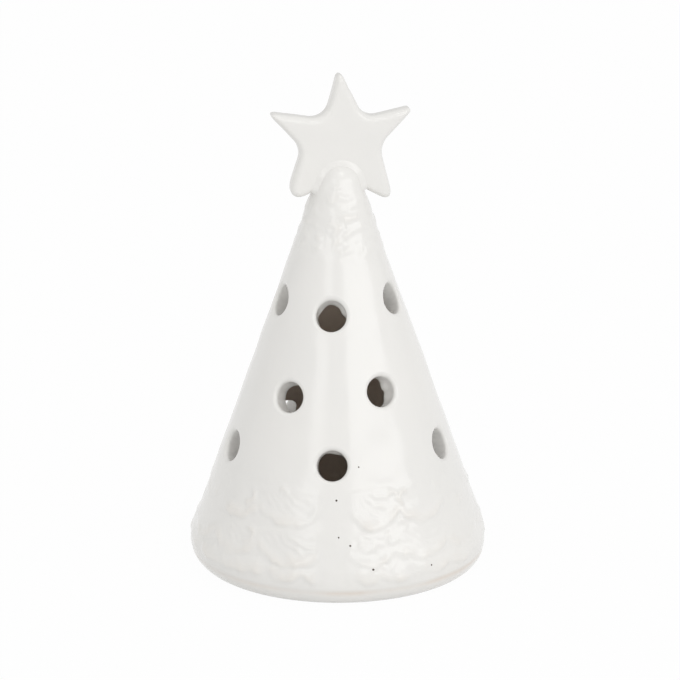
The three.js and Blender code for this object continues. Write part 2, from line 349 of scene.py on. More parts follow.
def in_rows(points, spacing):
    """The same line with its points spacing(height) apart, and no point twice."""
    points = np.array(points)
    keep = np.append(True, np.hypot(*np.diff(points, axis=0).T) > SAME_PLACE)
    points = points[keep]
    along = np.append(0, np.cumsum(np.hypot(*np.diff(points, axis=0).T)))
    stations = [0.0]
    while stations[-1] < along[-1]:
        height = np.interp(stations[-1], along, points[:, 1])
        stations.append(stations[-1] + spacing(height))
    stations = np.array(stations) * along[-1] / stations[-1]
    return np.stack([np.interp(stations, along, points[:, k]) for k in (0, 1)], axis=1)


SAME_PLACE = 1e-6                 # millimetres
SKIRT_TOP, TIP_FOOT = 38.0, 98.0  # the relief lies below the first and above the second
FINE_ROW, PLAIN_ROW, INNER_ROW = 0.6, 2.2, 4.0


def outer_spacing(height):
    return PLAIN_ROW if SKIRT_TOP < height < TIP_FOOT else FINE_ROW


def inner_spacing(height):
    return INNER_ROW if height > FOOT_EASE else FINE_ROW


outer_rows = in_rows(outer_section(), outer_spacing)
inner_rows = in_rows(inner_section(), inner_spacing)
section = np.concatenate([outer_rows[::-1], inner_rows])
print("section:", len(outer_rows), "outer rows and", len(inner_rows), "inner rows")

# %% [markdown]
# ## Spinning the cone
# A mould for slip is turned round one axis, and so is this: a single point is extruded along the section,
# and the whole line is spun round the Z axis. Spin leaves a seam where it closes and a fan of points at
# each pole, so doubles are merged and the normals are recalculated once the shell is whole.

# %% The spun cone
ROUND_STEPS = 424
MERGE_WITHIN = 1e-6  # metres


def spun(name, line, steps, merge_within):
    """A body of revolution: a point is extruded along line and the whole line is spun round the Z axis."""
    bpy.ops.mesh.primitive_plane_add(size=1)
    piece = named(name)
    bpy.ops.object.mode_set(mode="EDIT")
    bpy.ops.mesh.select_all(action="SELECT")
    bpy.ops.mesh.merge(type="CENTER")
    bpy.ops.transform.translate(value=(line[0, 0] * MM, 0, line[0, 1] * MM))
    for radial, upward in np.diff(line, axis=0) * MM:
        bpy.ops.mesh.extrude_region_move(TRANSFORM_OT_translate={"value": (radial, 0, upward)})
    bpy.ops.mesh.select_all(action="SELECT")
    bpy.ops.mesh.spin(steps=steps, angle=math.tau, center=(0, 0, 0), axis=(0, 0, 1))
    bpy.ops.mesh.select_all(action="SELECT")
    bpy.ops.mesh.remove_doubles(threshold=merge_within)
    bpy.ops.mesh.normals_make_consistent(inside=False)
    bpy.ops.object.mode_set(mode="OBJECT")
    return piece


bpy.ops.object.select_all(action="DESELECT")
cone = spun("pierced_cone", section, ROUND_STEPS, MERGE_WITHIN)
add_finishes(cone)
print("cone:", len(cone.data.vertices), "vertices")

# %% [markdown]
# ## Which faces are bare
# The tree was glazed standing on its foot, and the glaze never ran inside, so the flat foot ring and the
# whole hollow are bare clay. A face of the hollow is known by how far it lies from the outer section, and
# a face of the ring by its height.

# %% Bare inside and foot
BARE_DEPTH = WALL - 1.0                        # a face of the hollow is at least this deep in the wall
HOLLOW_TOP = CAVITY_TOP + 0.5                  # and lies below this
RING_TOP, RING_REACH = 0.25, FOOT_OUTER + 1.2  # a face of the foot ring lies under and within these


def outer_radius(heights):
    """Radius of the outer section at each height, for the side above the foot."""
    rising = outer_rows[np.argsort(outer_rows[:, 1])]
    return np.interp(heights, rising[:, 1], rising[:, 0])


def face_centres(piece):
    flat = np.empty(3 * len(piece.data.polygons))
    piece.data.polygons.foreach_get("center", flat)
    return flat.reshape(-1, 3) / MM


def finish_bare_faces(piece):
    """Gives the bare faces their finish and counts them."""
    centres = face_centres(piece)
    radius = np.hypot(centres[:, 0], centres[:, 1])
    depth = (outer_radius(centres[:, 2]) - radius) * math.cos(CONE_HALF_ANGLE)
    inside = (depth > BARE_DEPTH) & (centres[:, 2] < HOLLOW_TOP)
    on_foot = (centres[:, 2] < RING_TOP) & (radius < RING_REACH)
    bare = inside | on_foot
    piece.data.polygons.foreach_set("material_index", np.where(bare, BISCUIT, GLAZE).astype(np.int32))
    return int(bare.sum())


print("bare faces:", finish_bare_faces(cone))

# %% [markdown]
# ## The hole cutter
# Each hole was pushed through the leather-hard wall with a small round cutter, inwards and downwards, and
# its rim was wiped with a wet finger, so the mouth flares like a trumpet's. The cutter here is that hole's
# shape: a round plug, extruded ring by ring from a wide lip at the cone's face down to the plain bore.

# %% The cutter's shape
HOLE_BORE, HOLE_LIP, HOLE_REACH = 9.2, 1.4, 13.0
LIP_ANGLES = [math.radians(a) for a in (82, 72, 60, 48, 36, 24, 12, 0)]
BORE_DEPTHS = [1.9, 2.8, 3.7, 4.6, 5.5, 6.4, 7.4, 9.0, HOLE_REACH]
CUTTER_SIDES, PAST_FACE = 96, 1.2


def cutter_rings():
    """(radius, height) rings from the outer end inwards. Height is over the cone's face."""
    bore = HOLE_BORE / 2
    rings = [(bore + HOLE_LIP, PAST_FACE)]
    rings += [(bore + HOLE_LIP * (1 - math.cos(a)), HOLE_LIP * (math.sin(a) - 1)) for a in LIP_ANGLES]
    return rings + [(bore, -depth) for depth in BORE_DEPTHS]


def hole_cutter():
    """The cutter about the Z axis, with its wide end up."""
    rings = cutter_rings()
    first_radius, first_height = rings[0]
    bpy.ops.mesh.primitive_circle_add(vertices=CUTTER_SIDES, radius=first_radius * MM, fill_type="NGON",
                                      location=(0, 0, first_height * MM))
    cutter = named("hole_cutter")
    bpy.ops.object.transform_apply(location=True)
    bpy.ops.object.mode_set(mode="EDIT")
    bpy.ops.mesh.select_all(action="SELECT")
    for (wide, high), (narrow, low) in zip(rings, rings[1:]):
        bpy.ops.mesh.extrude_region_move(TRANSFORM_OT_translate={"value": (0, 0, (low - high) * MM)})
        bpy.ops.transform.resize(value=(narrow / wide, narrow / wide, 1), center_override=(0, 0, 0))
    bpy.ops.mesh.select_all(action="SELECT")
    bpy.ops.mesh.normals_make_consistent(inside=False)
    bpy.ops.object.mode_set(mode="OBJECT")
    return cutter


bpy.ops.object.select_all(action="DESELECT")
plain_cutter = hole_cutter()
print("cutter:", len(plain_cutter.data.vertices), "vertices")

# %% [markdown]
# ## Fifteen holes
# Five holes in each of three rows, the middle row turned half a step. The cutter pushes clay ahead of it,
# so the inner mouth stays ragged: the plug is narrowed there by soft lumps. Each copy is set on its own
# axis and drawn out to the cone's face all the way round, so that the lip follows the curved wall.

# %% Placing the cutters
HOLE_ROWS = [  # height, dip in degrees, and each hole's turn in degrees and stray upwards
    (41.0, 27, [(-3.1, 0.6), (67.9, 0.3), (141.6, 0.4), (215.3, -0.5), (289.0, -1.0)]),
    (60.8, 26, [(-33.3, -0.9), (29.6, 1.0), (103.9, 0.2), (178.2, -0.4), (252.4, 0.5)]),
    (85.6, 34, [(-6.6, -1.0), (65.5, 1.0), (139.9, -0.3), (214.3, 0.4), (288.7, -0.1)]),
]


def steps_to_face(points, axis):
    """How far each point has to go along axis to meet the cone's straight face."""
    radius = cone_radius(points[:, 2])
    a = axis[0] ** 2 + axis[1] ** 2 - (SLOPE * axis[2]) ** 2
    b = points[:, 0] * axis[0] + points[:, 1] * axis[1] + radius * SLOPE * axis[2]
    c = points[:, 0] ** 2 + points[:, 1] ** 2 - radius ** 2
    return (-b + np.sqrt(b * b - a * c)) / a


def noise_at(points, size, seed):
    """Smooth noise from -1 to 1 at each point, with lumps about size across."""
    shift = Vector((seed * 17.3, seed * 5.1, seed * 9.7))
    return np.array([noise.noise(Vector(point) / size + shift) for point in points])


CLAY_START, CLAY_RUN = 2.2, 3.2     # torn clay narrows the hole from this depth on, over this length
NARROWING, RAGGEDNESS = 0.1, 0.55   # by this much, and unevenly by up to this much
RAGGED_SIZE = 2.6                   # width of the uneven spots, on a mouth of MOUTH_RADIUS
MOUTH_RADIUS, DRAWN_OUT = 3, 0.6    # and how much they are drawn out along the hole
LUMP_WIDTH = 0.42                   # radians
INNER_END = HOLE_REACH - 0.1        # past this depth the cutter ends flat, inside the hollow


def placed_cutter(turn, height, dip, number, lumps):
    """A copy of the cutter in the cone's wall. lumps are (angle, size) of clay left at the inner mouth."""
    around, down = math.radians(turn), math.radians(dip)
    across = np.array([math.cos(around), math.sin(around), 0])
    outwards = np.array([across[1], -across[0], 0])
    axis = outwards * math.cos(down) + np.array([0, 0, math.sin(down)])
    upwards = np.cross(axis, across)
    mouth = outwards * cone_radius(height) + np.array([0, 0, height])
    cutter = copy_of(plain_cutter, "placed_cutter")
    local = places(cutter)
    angle = np.arctan2(local[:, 1], local[:, 0])
    depth = -local[:, 2]
    inner = np.clip((depth - CLAY_START) / CLAY_RUN, 0, 1) ** 1.5
    round_mouth = np.stack([MOUTH_RADIUS * np.cos(angle), MOUTH_RADIUS * np.sin(angle),
                            depth * DRAWN_OUT], axis=1)
    ragged = RAGGEDNESS * noise_at(round_mouth, RAGGED_SIZE, number + 1)
    shrink = inner * (NARROWING + ragged)
    for lump_angle, size in lumps:
        apart = np.angle(np.exp(1j * (angle - math.radians(lump_angle))))
        shrink += inner * size * np.exp(-(apart / LUMP_WIDTH) ** 2)
    scale = 1 - shrink / (HOLE_BORE / 2)
    local[:, :2] *= scale[:, None]
    points = mouth + local[:, :1] * across + local[:, 1:2] * upwards
    follow = np.where(depth < INNER_END, steps_to_face(points, axis), 0)
    set_places(cutter, points + (local[:, 2] + follow)[:, None] * axis)
    return cutter


LUMPS = {  # hole's number: angle in degrees and size of each lump
    5: [(-76, 0.55)],
    6: [(20, 1.2), (-20, 0.9), (-110, 0.7)],
    10: [(35, 1.3), (150, 0.3)],
}
cutters = []
for height, dip, holes in HOLE_ROWS:
    for turn, stray in holes:
        number = len(cutters)
        cutters.append(placed_cutter(turn, height + stray, dip, number, LUMPS.get(number, [])))
bpy.data.objects.remove(plain_cutter)
print("cutters:", len(cutters))

# %% [markdown]
# ## Pinholes
# Tiny pits, under a millimetre wide, where a gas bubble broke through the glaze. Each is cut by a small
# ball of the dark finish, so that the pit keeps it.

# %% Pinhole cutters
PINHOLES = [  # turn in degrees, height, radius
    (-0.8, 31.6, 0.34), (10.5, 41.0, 0.26), (0.2, 21.0, 0.27), (5.0, 18.6, 0.32), (13.8, 11.4, 0.36),
    (39.1, 9.7, 0.3), (97.0, 24.0, 0.32), (126.0, 52.0, 0.28), (163.0, 14.5, 0.34), (201.0, 33.0, 0.28),
    (236.0, 19.5, 0.32), (262.0, 71.0, 0.28),
]


def pinhole_cutter(turn, height, radius):
    """A small ball of the pinhole's finish, with its middle on the cone's face."""
    around = math.radians(turn)
    out = outer_radius(np.array([height]))[0]
    middle = (out * math.sin(around) * MM, -out * math.cos(around) * MM, height * MM)
    bpy.ops.mesh.primitive_ico_sphere_add(subdivisions=2, radius=radius * MM, location=middle)
    bpy.ops.object.transform_apply(location=True)
    ball = named("pinhole_cutter")
    add_finishes(ball)
    numbers = np.full(len(ball.data.polygons), PINHOLE, dtype=np.int32)
    ball.data.polygons.foreach_set("material_index", numbers)
    return ball


for cutter in cutters:
    add_finishes(cutter)
cutters += [pinhole_cutter(*pit) for pit in PINHOLES]
tool = join(cutters, "all_cutters")
print("tool:", len(tool.data.polygons), "faces")

# %% [markdown]
# ## The star
# A five-pointed star of pressed clay, 5.6 mm thick, shaped by hand, so no two arms are alike. Its outline
# starts as a ten-sided disc whose corners are pulled to their places. The corners are rounded by a vertex
# bevel, and the disc is extruded to its thickness.

# %% The star's sizes
STAR_POINT, STAR_VALLEY = 23.0, 9.8
POINT_ROUND, VALLEY_ROUND = 1.4, 4.6
STAR_THICKNESS, STAR_RIM, STAR_SINK = 5.6, 0.9, 4.7
STAR_TURN = math.radians(12)
STAR_CORNERS = [  # turn in degrees clockwise, shares of reach and rounding; points and valleys by turns
    (0.4, 0.925, 1), (47.9, 0.987, 1), (67.1, 0.998, 0.3), (96.8, 1.191, 0.9), (139.3, 1.061, 2.4),
    (177.0, 0.97, 1), (221.8, 1.022, 4.7), (263.5, 1.059, 0.9), (296.0, 0.962, 0.3), (331.0, 0.779, 1.2),
]
LOWER_VALLEY = 5
CORNER_SEGMENTS = 10


def star_corners():
    """The ten corners before they are rounded, in the star's own plane."""
    corners = []
    for number, (turn, reach, _) in enumerate(STAR_CORNERS):
        reach *= STAR_VALLEY if number % 2 else STAR_POINT
        corners.append((reach * math.sin(math.radians(turn)), reach * math.cos(math.radians(turn))))
    return np.array(corners)


STAR_HEIGHT = TIP_HEIGHT - STAR_SINK + STAR_RIM - star_corners()[LOWER_VALLEY, 1]
print("star's middle at", round(STAR_HEIGHT, 2), "mm")

# %% Selecting by place
def select_where(piece, kind, test):
    """Selects only the vertices or faces that pass test(place, normal), in millimetres, in edit mode."""
    mesh = piece.data
    for parts in (mesh.vertices, mesh.edges, mesh.polygons):
        parts.foreach_set("select", np.zeros(len(parts), dtype=bool))
    if kind == "VERT":
        chosen = [v for v in mesh.vertices if test(v.co / MM, v.normal)]
    else:
        chosen = [f for f in mesh.polygons if test(f.center / MM, f.normal)]
    for part in chosen:
        part.select = True
    bpy.context.tool_settings.mesh_select_mode = (kind == "VERT", False, kind == "FACE")
    only(piece)
    bpy.ops.object.mode_set(mode="EDIT")
    return len(chosen)


def grown_corners(outset):
    """The corners moved out by outset, each with the length over which it is rounded."""
    corners = star_corners()
    along = np.roll(corners, -1, axis=0) - corners
    along /= np.hypot(*along.T)[:, None]
    out = np.stack([-along[:, 1], along[:, 0]], axis=1)
    before = np.roll(out, 1, axis=0)
    both = out + before
    grown = corners + outset * 2 * both / (both ** 2).sum(axis=1)[:, None]
    lengths = []
    for number, (_, _, round_share) in enumerate(STAR_CORNERS):
        bend = np.hypot(*(out[number] - before[number])) / np.hypot(*both[number])
        if number % 2:
            lengths.append(round_share * VALLEY_ROUND - outset * bend)
        else:
            lengths.append(round_share * POINT_ROUND + outset * bend)
    return grown, lengths


AT_CORNER = 0.01  # millimetres


def star_outline(name, outset):
    """The star's silhouette as one flat face that looks to the front, outset past the corners."""
    bpy.ops.mesh.primitive_circle_add(vertices=len(STAR_CORNERS), radius=STAR_POINT * MM,
                                      fill_type="NGON", rotation=(math.pi / 2, 0, 0))
    bpy.ops.object.transform_apply(rotation=True)
    outline = named(name)
    corners, lengths = grown_corners(outset)
    for vertex in outline.data.vertices:
        x, z = corners[-vertex.index % len(corners)]
        vertex.co = (x * MM, 0, z * MM)
    for (x, z), length in zip(corners, lengths):
        select_where(outline, "VERT", lambda place, _: math.hypot(place.x - x, place.z - z) < AT_CORNER)
        bpy.ops.mesh.bevel(offset=length * MM, segments=CORNER_SEGMENTS, affect="VERTICES",
                           clamp_overlap=True)
        bpy.ops.object.mode_set(mode="OBJECT")
    return outline


def star_slab(name, outset, thickness):
    """The star as a slab with square edges, about its own middle."""
    slab = star_outline(name, outset)
    select_where(slab, "FACE", lambda place, normal: True)
    bpy.ops.transform.translate(value=(0, -thickness / 2 * MM, 0))
    bpy.ops.mesh.extrude_region_move(TRANSFORM_OT_translate={"value": (0, thickness * MM, 0)})
    bpy.ops.mesh.select_all(action="SELECT")
    bpy.ops.mesh.normals_make_consistent(inside=False)
    bpy.ops.object.mode_set(mode="OBJECT")
    return slab


def set_on_tip(piece):
    """Turns a piece built about the star's middle to where the star looks, and lifts it to its place."""
    only(piece)
    piece.rotation_euler = (0, 0, STAR_TURN)
    piece.location = (0, 0, STAR_HEIGHT * MM)
    bpy.ops.object.transform_apply(location=True, rotation=True)
    return piece


SEAT_GAP = 0.3
bpy.ops.object.select_all(action="DESELECT")
star = star_slab("pressed_star", STAR_RIM, STAR_THICKNESS)
wide_faces = [face for face in star.data.polygons if len(face.vertices) > 4]  # front and back
front_face = min(wide_faces, key=lambda face: face.center.y)
outline = places(star)[list(front_face.vertices)]
outline_steps = np.hypot(*(np.roll(outline, -1, axis=0) - outline)[:, [0, 2]].T)
print("outline: longest step", round(float(outline_steps.max()), 2), "mm over", len(outline), "points")
seat_tool = set_on_tip(star_slab("seat_tool", STAR_RIM + SEAT_GAP, STAR_THICKNESS + 2 * SEAT_GAP))
print("star:", [round(v / MM, 1) for v in star.dimensions], "mm")

# %% [markdown]
# ## Soft clay
# The slab still has square edges. Remeshing it into small even squares gives it points enough to be
# pressed like clay: its thickness falls off towards the outline in a quarter circle, as a pillow's does,
# which also works in the sharp points, where a bevel would run into itself. A little smoothing and
# unevenness make it look handled.

# %% The star's skin
def skin(piece, voxel, smoothing):
    """Remeshes a closed piece into even squares and smooths them."""
    apply_modifier(piece, "REMESH", mode="VOXEL", voxel_size=voxel * MM)
    bpy.ops.object.mode_set(mode="EDIT")
    bpy.ops.mesh.select_all(action="SELECT")
    bpy.ops.mesh.vertices_smooth(factor=0.5, repeat=smoothing)
    bpy.ops.object.mode_set(mode="OBJECT")
    return piece


def distance_to_outline(points):
    """Distance in the star's plane from each point to its silhouette, whose points lie in order."""
    flat = points[:, [0, 2]]
    ring = outline[:, [0, 2]]
    nearest = np.full(len(flat), np.inf)
    for start, end in zip(ring, np.roll(ring, -1, axis=0)):
        along = end - start
        share = np.clip((flat - start) @ along / (along @ along), 0, 1)
        nearest = np.minimum(nearest, np.hypot(*(flat - start - share[:, None] * along).T))
    return nearest


def unevenness(points, waves):
    """A sum of smooth noises, each a (height, width of its lumps, number of the pattern)."""
    return sum(height * noise_at(points, width, pattern) for height, width, pattern in waves)


def vertex_normals(piece):
    flat = np.empty(3 * len(piece.data.vertices))
    piece.data.vertices.foreach_get("normal", flat)
    return flat.reshape(-1, 3)


def store_relief(piece, heights):
    """Keeps a relief height from 0 to 1 on each point, for the glaze to read."""
    attribute = piece.data.attributes.new("relief", "FLOAT", "POINT")
    attribute.data.foreach_set("value", np.clip(heights, 0, 1).astype(np.float32))


PILLOW, SIDE_SHARE = 1.5, 0.5    # the slab thins over the first, down to the second's share at its side
STAR_VOXEL, STAR_SMOOTHING = 0.36, 9
STAR_WAVES = [(0.22, 9, 3), (0.05, 4, 4)]
skin(star, STAR_VOXEL, 0)
points = places(star)
inwards = np.clip(distance_to_outline(points) / PILLOW, 0, 1)
points[:, 1] *= SIDE_SHARE + (1 - SIDE_SHARE) * np.sqrt(1 - (1 - inwards) ** 2)
set_places(star, points)
select_where(star, "VERT", lambda place, normal: True)
bpy.ops.mesh.vertices_smooth(factor=0.5, repeat=STAR_SMOOTHING)
bpy.ops.object.mode_set(mode="OBJECT")
set_on_tip(star)
points = places(star)
set_places(star, points + vertex_normals(star) * unevenness(points, STAR_WAVES)[:, None])
star.data.materials.append(glaze)
print("star:", len(star.data.polygons), "faces,", [round(v / MM, 1) for v in star.dimensions], "mm")

# %% [markdown]
# ## Cutting the cone
# All the cutters are one tool, so that the shell is cut once. The exact solver leaves the tool's own
# finish on the cut, which keeps the walls of the holes glazed and the pinholes dark. The tip gets the
# slot that the star sits in, a little wider than the star.

# %% Cutting the holes and the star's seat
def cut(piece, tool):
    """Cuts a tool's shape out of a piece and deletes the tool."""
    apply_modifier(piece, "BOOLEAN", operation="DIFFERENCE", solver="EXACT", object=tool)
    bpy.data.objects.remove(tool)
    return piece


cut(cone, tool)
add_finishes(seat_tool)
cut(cone, seat_tool)
print("cone:", len(cone.data.vertices), "vertices,", len(cone.data.polygons), "faces")

# %% [markdown]
# ## The moulded boughs
# The mould carries shallow boughs: tiers of hanging swags round the skirt, with small bows where they
# meet, and finer ones on the tip, all softened by the glaze that fills them. They fade out at the front
# and back, where the mould's seam was sponged smooth. A tier is a line of swags, each between two joints.
# The relief is worked out as a height over the plain cone from the turn and the height of each point, and
# every point moves outwards by it.

# %% One tier of swags
LIP_EDGE = (-0.3, 1.1)                  # the lip rises between these heights over a swag's lower edge
LIP_CREST, LIP_WIDTH = 1.5, 1.9         # it is highest here, and this wide
BODY_SHARE = 0.25                       # height of the body above the lip, as a share of the lip's
EDGE_SAG, TOP_SAG = 0.75, 0.12          # how much of the sag the lower and the upper edge follow
UPPER_LINE, UPPER_DROP, UPPER_WIDTH = 0.22, 0.8, 0.9  # the thin line under the upper edge
PAST_TOP, TOP_SOFT = -0.4, 0.5          # it fades out upwards, over this share of its reach
NOTCH, NOTCH_WIDTH = 0.4, 2.0           # a swag is lower by this near its joints


def smooth_step(value, low, high):
    """0 below low, 1 above high, and a soft step between them."""
    t = np.clip((value - low) / (high - low), 0, 1)
    return t * t * (3 - 2 * t)


def ridge(distance, width):
    """1 at no distance, falling softly to 0 either way."""
    return np.exp(-(distance / width) ** 2)


def along_swag(turn, joints):
    """Place along its swag of each turn, from -1 to 1 between two joints, and the swag's half width."""
    number = np.clip(np.searchsorted(joints, turn) - 1, 0, len(joints) - 2)
    start, end = joints[number], joints[number + 1]
    return 2 * (turn - start) / (end - start) - 1, (end - start) / 2


def above_edge(height, along, top, sag, reach):
    """Height over a swag's lower edge."""
    return height - (top - reach - sag * (1 - along ** 2) * EDGE_SAG)


def swags(turn, height, joints, top, sag, reach):
    """Height of one tier from 0 to 1: swags that hang by sag below top between joints, reach high."""
    along, half = along_swag(turn, joints)
    above = above_edge(height, along, top, sag, reach)
    below_top = (top + TOP_SAG * sag * (1 - along ** 2)) - height
    lip = BODY_SHARE + (1 - BODY_SHARE) * ridge(above - LIP_CREST, LIP_WIDTH)
    lip *= smooth_step(above, *LIP_EDGE)
    inside = smooth_step(below_top, PAST_TOP, reach * TOP_SOFT)
    upper_line = UPPER_LINE * ridge(below_top - UPPER_DROP, UPPER_WIDTH) * smooth_step(above, 0, 1)
    notch = 1 - NOTCH * ridge((1 - np.abs(along)) * half, NOTCH_WIDTH)
    return lip * inside * notch + upper_line


# %% Strokes and curls
STROKE_SPACING, STROKE_LEAN = 2.3, math.radians(32)
STROKE_FOOT, STROKE_TOP, STROKE_SIDE = (2.6, 4.2), (0, 2.0), (1, 5)  # they fade in between these
CURL_GAP = (0.6, 1.6)                                                # radians


def strokes(turn, height, joints, top, sag, reach, radius):
    """Slanting soft ridges on a tier's swags, above their lips, from -1 to 1."""
    along, half = along_swag(turn, joints)
    above = above_edge(height, along, top, sag, reach)
    across = np.radians((along + 1) * half) * radius
    phase = (above * math.cos(STROKE_LEAN) + across * math.sin(STROKE_LEAN)) / STROKE_SPACING
    zone = smooth_step(above, *STROKE_FOOT) * smooth_step(top - height, *STROKE_TOP)
    zone *= smooth_step((1 - np.abs(along)) * half, *STROKE_SIDE)
    return np.cos(2 * math.pi * phase) * zone


def curls(turn, height, marks, radius):
    """Small open curls, each mark a (turn, height, way that the gap looks, size). A larger one has a
    broader and higher line."""
    found = np.zeros_like(turn)
    for mark_turn, mark_height, gap, size in marks:
        across = np.radians((turn - mark_turn + 180) % 360 - 180) * radius
        lift = height - mark_height
        away = np.angle(np.exp(1j * (np.arctan2(lift, across) - math.radians(gap))))
        ring = ridge(np.hypot(across, lift) - size, 0.35 + 0.25 * size)
        ring *= smooth_step(np.abs(away), *CURL_GAP)
        found = np.maximum(found, ring * (0.4 + 0.3 * size))
    return found


def joints_round(front, spacing):
    """Joints where the front shows them, and then evenly spaced round the back."""
    rest = 360 - (front[-1] - front[0])
    count = round(rest / spacing)
    return np.array(front + [front[-1] + rest * (i + 1) / count for i in range(count)])


# %% The relief over the whole cone
SKIRT_TIERS = [  # joints in degrees, top, sag, reach
    (joints_round([-66, -38, -7, 5, 28, 55], 28), 33.6, 6.0, 7.0),
    (joints_round([-61, -35, -7, 4, 23, 50], 27), 21.6, 5.4, 6.6),
    (joints_round([-52, -29, -14, 6, 17, 33], 17), 11.6, 2.2, 3.4),
]
TIP_TIERS = [
    (joints_round([-72, -40, -9, 7, 38, 66], 34), 107.2, 2.6, 4.6),
    (joints_round([-90, -50, -22, 12, 40, 74], 36), 114.0, 2.4, 4.4),
]
FRONT_BOWS = [  # turn in degrees, height, way that the curl's gap looks, size
    (25.8, 31.6, 250, 1.5), (31.6, 31.0, 330, 1.5), (23.0, 20.4, 60, 1.6), (7.2, 18.9, 80, 1.4),
    (12.6, 17.6, 110, 1.4), (29.0, 23.0, 200, 1.4), (17.5, 10.0, 300, 1.5), (24.5, 11.0, 60, 1.4),
    (-45.5, 30.4, 180, 2.3), (-40.6, 18.7, 180, 2.3), (-27.0, 33.0, 250, 1.5), (-64.0, 30.8, 200, 1.5),
    (-52.0, 9.8, 160, 1.5), (52.5, 30.4, 240, 1.4),
]
BACK_BOWS = [(turn + 180 + 5 * (number % 3), height, gap, size)
             for number, (turn, height, gap, size) in enumerate(FRONT_BOWS)]
SKIRT_RELIEF, TIP_RELIEF = 0.7, 0.52
CURL_RADIUS, TIER_RADIUS, TIP_TIER_RADIUS = 42, 44, 12  # radii that turn degrees to millimetres
STROKE_SHARE = 0.19
SEAMS = (-2.0, 178.0)


def tier_heights(turn, height, tiers, radius, stroked):
    """The highest of several tiers at each place, with strokes where stroked is 1."""
    found = np.zeros_like(height)
    for joints, top, sag, reach in tiers:
        wrapped = joints[0] + (turn - joints[0]) % 360
        swag = swags(wrapped, height, joints, top, sag, reach)
        swag += STROKE_SHARE * stroked * strokes(wrapped, height, joints, top, sag, reach, radius)
        found = np.maximum(found, swag)
    return found


# %% How the boughs stray and wear
TURN_WAVES = [(1.7, 7, 11), (1.3, 2.7, 12)]      # degrees, width of the lumps, number of the pattern
HEIGHT_WAVES = [(1.0, 8, 13), (0.8, 2.7, 14)]    # the same, in millimetres
TIP_WAVES = [(1.5, 10, 16)]
TIP_STRAY = 2.6                                  # a degree is shorter on the tip, so turns stray more
KEPT, LEAST_KEPT = 0.68, 0.15                    # how much of the relief the glaze and the sponge left
KEPT_WAVES = [(0.6, 12, 15), (0.55, 4.5, 18)]
WORN_SIDES = [(76, 24, 0.6), (-84, 20, 0.45)]    # turn, width and depth of the wear
LUMP_WAVES = [(0.32, 1.9, 20)]
STROKED_SIZE, STROKED_EDGE = 16, (0, 0.3)        # patches that have strokes, besides the one at a turn
STROKED_TURN, STROKED_WIDTH = 13, 10
TALLER, WIDER = np.array([1, 1, 0.8]), np.array([0.75, 0.75, 1.15])  # how lumps are drawn out
TIP_LUMP_SIZE, TIP_LUMP_EDGE = 2.7, (-0.15, 0.42)
TIP_TIER_SHARE, TIP_LUMP_SHARE = 0.35, 0.8
MIDDLE = 60.0                                    # between the skirt's relief and the tip's
FOOT_IN, SEAM_IN, TIP_IN = (4.6, 7.0), (4.0, 9.0), (98, 103)  # the relief comes in between these
TIP_THINS, THINNER_BY, TIP_OUT = (112, 119), 0.3, (121, 124)  # and thins and ends towards the top


def boughs(points):
    """Relief height in millimetres at each point on the outside of the cone."""
    turn = np.degrees(np.arctan2(points[:, 0], -points[:, 1]))
    height = points[:, 2]
    drawn = points * TALLER
    low = height < MIDDLE
    turn_warped = turn + np.where(low, 1.0, TIP_STRAY) * unevenness(drawn, TURN_WAVES)
    height_warped = height + unevenness(drawn, HEIGHT_WAVES)
    height_warped += np.where(low, 0, unevenness(drawn, TIP_WAVES))
    kept = np.clip(KEPT + unevenness(drawn, KEPT_WAVES), LEAST_KEPT, 1)
    kept *= 1 - sum(share * ridge(turn - side, width) for side, width, share in WORN_SIDES)
    from_seam = np.min([np.abs((turn - seam + 180) % 360 - 180) for seam in SEAMS], axis=0)
    stroked = np.maximum(smooth_step(noise_at(drawn, STROKED_SIZE, 17), *STROKED_EDGE),
                         ridge(turn - STROKED_TURN, STROKED_WIDTH))
    skirt = tier_heights(turn_warped, height_warped, SKIRT_TIERS, TIER_RADIUS, stroked)
    skirt = np.maximum(skirt, curls(turn_warped, height_warped, FRONT_BOWS + BACK_BOWS, CURL_RADIUS))
    skirt *= 1 + unevenness(drawn, LUMP_WAVES)
    tip = TIP_TIER_SHARE * tier_heights(turn_warped, height_warped, TIP_TIERS, TIP_TIER_RADIUS, stroked)
    tip += TIP_LUMP_SHARE * smooth_step(noise_at(points * WIDER, TIP_LUMP_SIZE, 19), *TIP_LUMP_EDGE)
    skirt *= smooth_step(height, *FOOT_IN) * smooth_step(from_seam, *SEAM_IN) * kept
    tip *= smooth_step(height, *TIP_IN) * (1 - THINNER_BY * smooth_step(height, *TIP_THINS)) * kept
    tip *= 1 - smooth_step(height, *TIP_OUT)
    return np.where(low, skirt * SKIRT_RELIEF, tip * TIP_RELIEF)


# %% [markdown]
# ## Moving the points
# Only the outer skin carries the relief, so a point's share falls off with its depth in the wall. The
# same move gives the plain wall the slight unevenness of a hand-finished cast, which is what makes its
# reflections wander. The foot has a faint line round it, and sagged a little to the left while the clay
# was soft.

# %% The cone's uneven skin
FOOT_LINE, LINE_DEPTH, LINE_WIDTH = 4.3, 0.14, 0.55  # where the mould's foot ring met the wall
SAG, SAG_HEIGHT, SAG_WIDTH = 0.55, 5.5, 4.5          # the soft foot sagged out on the left
CAST_WAVES = [(0.24, 24, 21), (0.16, 9, 22)]
RIPPLE_LOW, RIPPLE_HIGH, RIPPLE_WIDTH = 0.05, 0.02, 2.6
BAND, BAND_WIDTH, DRAWN_ROUND = 0.05, 5, np.array([0.4, 0.4, 1])  # faint bands that run round the wall
SKIN_DEPTHS, FOOT_FADE = (0.5, 3.5), (0.3, 3.0)      # it ends over these depths and starts over these heights
NEAR_AXIS = 3.0                                      # within this, points move upwards and not outwards


